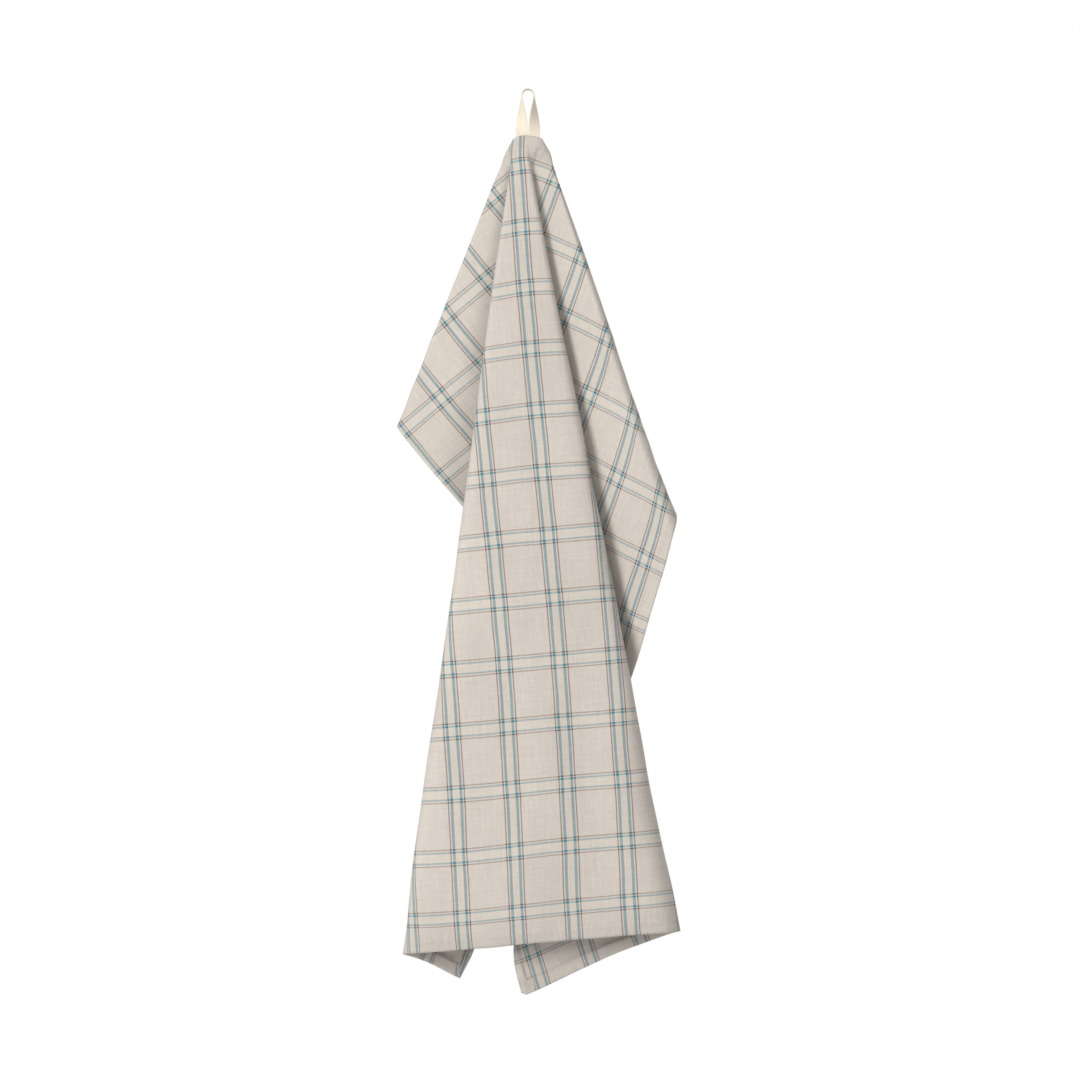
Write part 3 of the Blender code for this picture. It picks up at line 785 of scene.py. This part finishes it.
def make_tape():
    """A flat tube: up the outer face of the tape and back along its inner face."""
    stations = tape_stations()
    shares = np.linspace(-1.0, 1.0, TAPE_ACROSS_STEPS + 1)
    half = np.full(len(shares), TAPE_THICKNESS / 2.0)
    half[[0, -1]] *= TAPE_EDGE_THICKNESS
    rings = []
    for centre, width, outward in stations:
        outer = [centre + width * s * TAPE_WIDTH / 2.0 + outward * h for s, h in zip(shares, half)]
        inner = [centre + width * s * TAPE_WIDTH / 2.0 - outward * h for s, h in zip(shares, half)]
        rings.append(outer + inner[::-1])
    ring_size = len(rings[0])
    faces = []
    for k in range(len(rings) - 1):
        for j in range(ring_size):
            after = (j + 1) % ring_size
            faces.append((k * ring_size + j, k * ring_size + after,
                          (k + 1) * ring_size + after, (k + 1) * ring_size + j))
    last = (len(rings) - 1) * ring_size
    for j in range(TAPE_ACROSS_STEPS):
        across = ring_size - 1 - j
        faces.append((j, across, across - 1, j + 1))
        faces.append((last + j, last + j + 1, last + across - 1, last + across))
    mesh = bpy.data.meshes.new("loop_tape")
    mesh.from_pydata([tuple(p) for ring in rings for p in ring], [], faces)

    centres = np.array([centre for centre, _, _ in stations])
    run = np.concatenate([[0.0], np.cumsum(np.linalg.norm(np.diff(centres, axis=0), axis=1))])
    ring_across = np.concatenate([shares, shares[::-1]]) * TAPE_WIDTH / 2.0
    layer = mesh.uv_layers.new(name="tape")
    for loop in mesh.loops:
        ring, place = divmod(loop.vertex_index, ring_size)
        layer.data[loop.index].uv = (ring_across[place], run[ring])
    mesh.shade_smooth()
    mesh.set_sharp_from_angle(angle=math.radians(SHARP_TURN))
    return add_object("loop_tape", mesh), float(run[-1])


TAPE_CREAM = (0.86, 0.79, 0.66, 1.0)
# The darker colour: the cotton's own darker tone, and painted shade in the grooves between the ribs.
TAPE_DARK_TONE_AND_GROOVE_SHADE = (0.70, 0.61, 0.46, 1.0)
HERRINGBONE_HALF = 1.28      # millimetres from a rib's point to its valley
HERRINGBONE_STEP = 0.62      # from one slanting yarn to the next


def herringbone_tape():
    """Unbleached cotton in slanting ribs that meet in points down the tape."""
    material, tree, inlets = new_material("cotton_herringbone_tape")
    flat = tree.add("ShaderNodeUVMap", {"uv_map": "tape"})
    across = tree.part(flat, 0) * MM
    along = tree.part(flat, 1) * MM
    zigzag = across.math("PINGPONG", HERRINGBONE_HALF)
    rib = ((along + zigzag) * (math.pi / HERRINGBONE_STEP)).math("SINE").math("ABSOLUTE")
    uneven = tree.noise(flat, scale=700.0)
    blotch = tree.noise(flat, scale=120.0)
    # The ribs' crests are lighter and their grooves darker: painted shade that follows the rib bump. The
    # two noises are the cotton's own uneven tone.
    share = (rib * 0.35 + uneven * 0.45 + blotch * 0.5 - 0.15).clip(0.0, 1.0)
    tree.feed(inlets["Base Color"], tree.mix(share, TAPE_DARK_TONE_AND_GROOVE_SHADE, TAPE_CREAM))
    tree.feed(inlets["Roughness"], 0.95 - uneven * 0.12)
    inlets["Specular IOR Level"].default_value = 0.25
    inlets["Sheen Weight"].default_value = 0.10
    tree.feed(inlets["Normal"], tree.bump(rib * 0.10 + uneven * 0.10))
    return material


tape, tape_length = make_tape()
tape.data.materials.append(herringbone_tape())
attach(tape, "root")
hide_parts("hanging_loop")

# ---- the sewing --------------------------------------------------------------------------------
# Lockstitch in a beige cotton thread. One row holds each hem, just outside its turned edge, and
# short rows hold the two tape ends to the hem behind the loop.
STITCH_LENGTH = 0.0029       # from one needle hole to the next
STITCH_SHOWS = 0.82          # share of the stitch that shows between two needle holes
SHORTEST_STITCH = 0.86       # uneven stitches, against an even one
LONGEST_STITCH = 1.08
THREAD_RADIUS = 0.00017
THREAD_FLATNESS = 0.9        # a stitch's height against its width
THREAD_BEIGE = (0.52, 0.46, 0.39, 1.0)
THREAD_DARK = 0.8            # the darker strands' share of that beige
SEW_INSIDE = 0.0013          # the row's distance from the hem's turned edge
SEW_STARTS = 0.0045          # the row's ends, from the towel's edges
LINE_STEP = 0.004            # between the points that a row is drawn through
LEAST_STEPS = 8              # steps of the shortest rows
NEARLY_LEVEL = 1.5707        # radians; a line of the fan that is more level counts as this one


def cloth_line(start, end, face):
    """Points and normals along a straight line of the flat towel, on one face of the cloth."""
    steps = max(LEAST_STEPS, round(math.dist(start, end) / LINE_STEP))
    share = np.linspace(0.0, 1.0, steps + 1)
    across = start[0] + (end[0] - start[0]) * share
    down = start[1] + (end[1] - start[1]) * share
    slopes = np.tan(np.radians(FINE_ANGLES).clip(-NEARLY_LEVEL, NEARLY_LEVEL))
    angle = np.array([
        np.interp(a, SIDE_BELOW + d * slopes, FINE_ANGLES) for a, d in zip(across, down)])
    distance = down / np.cos(np.radians(angle))
    normal = outer_normal(angle, distance)
    lift = relief(across, down)[:, None] + CLOTH_THICKNESS / 2.0
    if face < 0:
        lift -= HEM_THICKNESS
    return hung_point(angle, distance) + normal * lift, normal * face


def stitch_rows():
    """Every row of sewing on the hems, as a list of points and normals."""
    side = HALF_WIDTH - SIDE_HEM + SEW_INSIDE
    top = END_HEM - SEW_INSIDE
    half = HALF_WIDTH - SEW_STARTS
    rows = []
    for face in (1, -1):
        for down in (CLOTH_LENGTH - top, top):
            rows.append(cloth_line((-half, down), (half, down), face))
        for across in (-side, side):
            rows.append(cloth_line((across, SEW_STARTS), (across, CLOTH_LENGTH - SEW_STARTS), face))
    return rows


def sewing_tree():
    """Geometry Nodes: thread stitches laid end to end along each row's line."""
    group = bpy.data.node_groups.new("lockstitch", "GeometryNodeTree")
    for name, kind in (("Rows", "NodeSocketGeometry"), ("Stitch length", "NodeSocketFloat"),
                       ("Thread radius", "NodeSocketFloat"), ("Share shown", "NodeSocketFloat"),
                       ("Unevenness seed", "NodeSocketInt"), ("Thread", "NodeSocketMaterial")):
        group.interface.new_socket(name, in_out="INPUT", socket_type=kind)
    group.interface.new_socket("Stitches", in_out="OUTPUT", socket_type="NodeSocketGeometry")
    tree = Tree(group)
    given = group.nodes.new("NodeGroupInput")
    rows, length, radius, shown, seed, thread = (Wire(tree, given.outputs[k]) for k in range(6))
    lines = tree.add("GeometryNodeMeshToCurve", (), {0: rows})
    holes = tree.add("GeometryNodeResampleCurve", {"mode": "LENGTH"}, {"Curve": lines, "Length": length})
    tangent = tree.add("GeometryNodeInputTangent")
    facing = tree.add("GeometryNodeInputNamedAttribute", {"data_type": "FLOAT_VECTOR"},
                      {"Name": "facing"})
    along = tree.add("FunctionNodeAlignRotationToVector", {"axis": "X"}, {"Vector": tangent})
    upright = tree.add("FunctionNodeAlignRotationToVector", {"axis": "Z", "pivot_axis": "X"},
                       {"Rotation": along, "Vector": facing})
    uneven = tree.add("FunctionNodeRandomValue", {"data_type": "FLOAT"},
                      {2: SHORTEST_STITCH, 3: LONGEST_STITCH, "Seed": seed}, 1)
    size = tree.add("ShaderNodeCombineXYZ", (), {
        0: length * shown * 0.5 * uneven, 1: radius * uneven, 2: radius * THREAD_FLATNESS})
    stitch = tree.add("GeometryNodeMeshUVSphere", (), {"Segments": 6, "Rings": 4, "Radius": 1.0})
    placed = tree.add("GeometryNodeInstanceOnPoints", (), {
        "Points": holes, "Instance": stitch, "Rotation": upright, "Scale": size})
    solid = tree.add("GeometryNodeRealizeInstances", (), {0: placed})
    painted = tree.add("GeometryNodeSetMaterial", (), {"Geometry": solid, "Material": thread})
    result = group.nodes.new("NodeGroupOutput")
    tree.feed(result.inputs[0], painted)
    return group


def thread_material():
    """Cotton thread with lighter and darker strands."""
    material, tree, inlets = new_material("beige_sewing_thread")
    object_place = tree.add("ShaderNodeTexCoord", (), (), 3)
    twist = tree.add("ShaderNodeTexNoise", (), {"Vector": object_place, "Scale": 1800.0, "Detail": 1.0})
    darker = tuple(THREAD_DARK * c for c in THREAD_BEIGE[:3]) + (1.0,)
    tree.feed(inlets["Base Color"], tree.mix(twist, darker, THREAD_BEIGE))
    tree.feed(inlets["Roughness"], 0.9 - twist * 0.2)
    return material


def make_stitches(name, rows, length, seed):
    """Turn rows of points and normals into a plain mesh of thread stitches."""
    points = [tuple(p) for row, _ in rows for p in row]
    normals = np.concatenate([facing for _, facing in rows])
    edges = []
    first = 0
    for row, _ in rows:
        edges += [(first + k, first + k + 1) for k in range(len(row) - 1)]
        first += len(row)
    mesh = bpy.data.meshes.new(name + "_rows")
    mesh.from_pydata(points, edges, [])
    facing = mesh.attributes.new("facing", "FLOAT_VECTOR", "POINT")
    facing.data.foreach_set("vector", normals.ravel())
    guide = add_object(name + "_rows", mesh)
    modifier = guide.modifiers.new("lockstitch", "NODES")
    modifier.node_group = SEWING
    sizes = {"Stitch length": length, "Thread radius": THREAD_RADIUS,
             "Share shown": STITCH_SHOWS, "Unevenness seed": seed, "Thread": THREAD}
    for item in SEWING.interface.items_tree:
        if item.name in sizes:
            modifier[item.identifier] = sizes[item.name]
    evaluated = guide.evaluated_get(bpy.context.evaluated_depsgraph_get())
    stitches = add_object(name, bpy.data.meshes.new_from_object(evaluated))
    bpy.data.objects.remove(guide)
    stitches.data.shade_smooth()
    return stitches


SEWING = sewing_tree()
THREAD = thread_material()
hem_stitches = make_stitches("hem_stitches", stitch_rows(), STITCH_LENGTH, seed=4)
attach(hem_stitches, "root")

TAPE_STITCH_LENGTH = STITCH_LENGTH * 0.7
TAPE_ROW_INSIDE = 0.0012     # the row's ends, from the outer edges of the two tape ends
TAPE_ROW_DROPS = (0.0035, 0.0070)    # the two rows on the tape, below the towel's top edge
FRONT_ROW_DROP = 0.0045      # the row that shows on the hem's outer face
TAPE_ROW_POINTS = 15


def tape_rows():
    """Rows of sewing across the tape ends, on the tape behind and on the hem in front."""
    half = TAPE_LEG_SPACING / 2.0 + TAPE_WIDTH / 2.0 - TAPE_ROW_INSIDE
    tape_back = -SEWN_FORWARD + TAPE_THICKNESS / 2.0
    rows = []
    for drop in TAPE_ROW_DROPS:
        points = np.full((TAPE_ROW_POINTS, 3), (0.0, tape_back, EDGE_Z - drop))
        points[:, 0] = np.linspace(-1.0, 1.0, TAPE_ROW_POINTS) * half
        rows.append((points, np.tile((0.0, 1.0, 0.0), (TAPE_ROW_POINTS, 1))))
    rows.append(cloth_line((-half, FRONT_ROW_DROP), (half, FRONT_ROW_DROP), 1))
    return rows


tape_stitches = make_stitches("tape_stitches", tape_rows(), TAPE_STITCH_LENGTH, seed=9)
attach(tape_stitches, "root")

# ---- the room ----------------------------------------------------------------------------------
# A pale floor below the towel, a white room, a large soft light on the left and a small one high
# on the right, and the camera level with the towel's middle, straight in front of it.
FLOOR_DEPTH = 0.30           # from the towel's lowest corner down to the floor
FLOOR_HALF = 1.2
FLOOR_GREY = (0.8, 0.8, 0.8, 1)
FLOOR_ROUGHNESS = 0.9

floor_z = cad_low.z - FLOOR_DEPTH
floor_mesh = bpy.data.meshes.new("floor")
floor_mesh.from_pydata([(-FLOOR_HALF, -FLOOR_HALF, floor_z), (FLOOR_HALF, -FLOOR_HALF, floor_z),
                        (FLOOR_HALF, FLOOR_HALF, floor_z), (-FLOOR_HALF, FLOOR_HALF, floor_z)],
                       [], [(0, 1, 2, 3)])
floor = add_object("floor", floor_mesh)
floor_paint, _, floor_inlets = new_material("pale_floor")
floor_inlets["Base Color"].default_value = FLOOR_GREY
floor_inlets["Roughness"].default_value = FLOOR_ROUGHNESS
floor_mesh.materials.append(floor_paint)

WHITE = (1.0, 1.0, 1.0, 1.0)
WALL_LIGHT = 1.0
ROOM_LIGHT = 0.42            # the room's light, against the white wall behind the towel
WALL_FROM = 0.15             # how far towards the back, of 1, the white wall begins
WALL_WHOLE = 0.75            # and where it is wholly white

world = bpy.data.worlds.new("white_room")
world.use_nodes = True
background = world.node_tree.nodes["Background"].inputs
world_tree = Tree(world.node_tree)
facing_back = world_tree.part(world_tree.add("ShaderNodeTexCoord"), 1)
wall = world_tree.add("ShaderNodeMapRange", (), {
    0: facing_back, 1: WALL_FROM, 2: WALL_WHOLE, 3: ROOM_LIGHT, 4: WALL_LIGHT})
background["Color"].default_value = WHITE
world_tree.feed(background["Strength"], wall)
bpy.context.scene.world = world


def soft_light(name, place, aim, size, power):
    """A square light at a place, turned to shine at a point."""
    light = bpy.data.lights.new(name, "AREA")
    light.size = size
    light.energy = power
    obj = add_object(name, light)
    away = np.array(place) - np.array(aim)
    obj.location = place
    obj.rotation_euler = (
        math.acos(away[2] / np.linalg.norm(away)), 0.0, math.atan2(away[1], away[0]) + math.pi / 2.0)


soft_light("window_light", place=(-1.65, -2.05, 0.0), aim=(0.0, 0.0, -0.30), size=0.85, power=57.0)
soft_light("high_fill_light", place=(1.1, -1.5, 1.3), aim=(0.0, 0.0, -0.1), size=0.7, power=13.0)

CAMERA_DISTANCE = 3.0
FRAME_WIDTH = 0.9331         # what the camera sees across at the towel
FRAME_CENTRE = (0.0104, -0.3890)
SENSOR = 36.0

camera_data = bpy.data.cameras.new("camera")
camera_data.sensor_width = SENSOR
camera_data.lens = SENSOR * CAMERA_DISTANCE / FRAME_WIDTH
camera = add_object("camera", camera_data)
camera.location = (FRAME_CENTRE[0], -CAMERA_DISTANCE, FRAME_CENTRE[1])
camera.rotation_euler = (math.pi / 2.0, 0.0, 0.0)
bpy.context.scene.camera = camera
bpy.context.scene.view_settings.view_transform = "Standard"
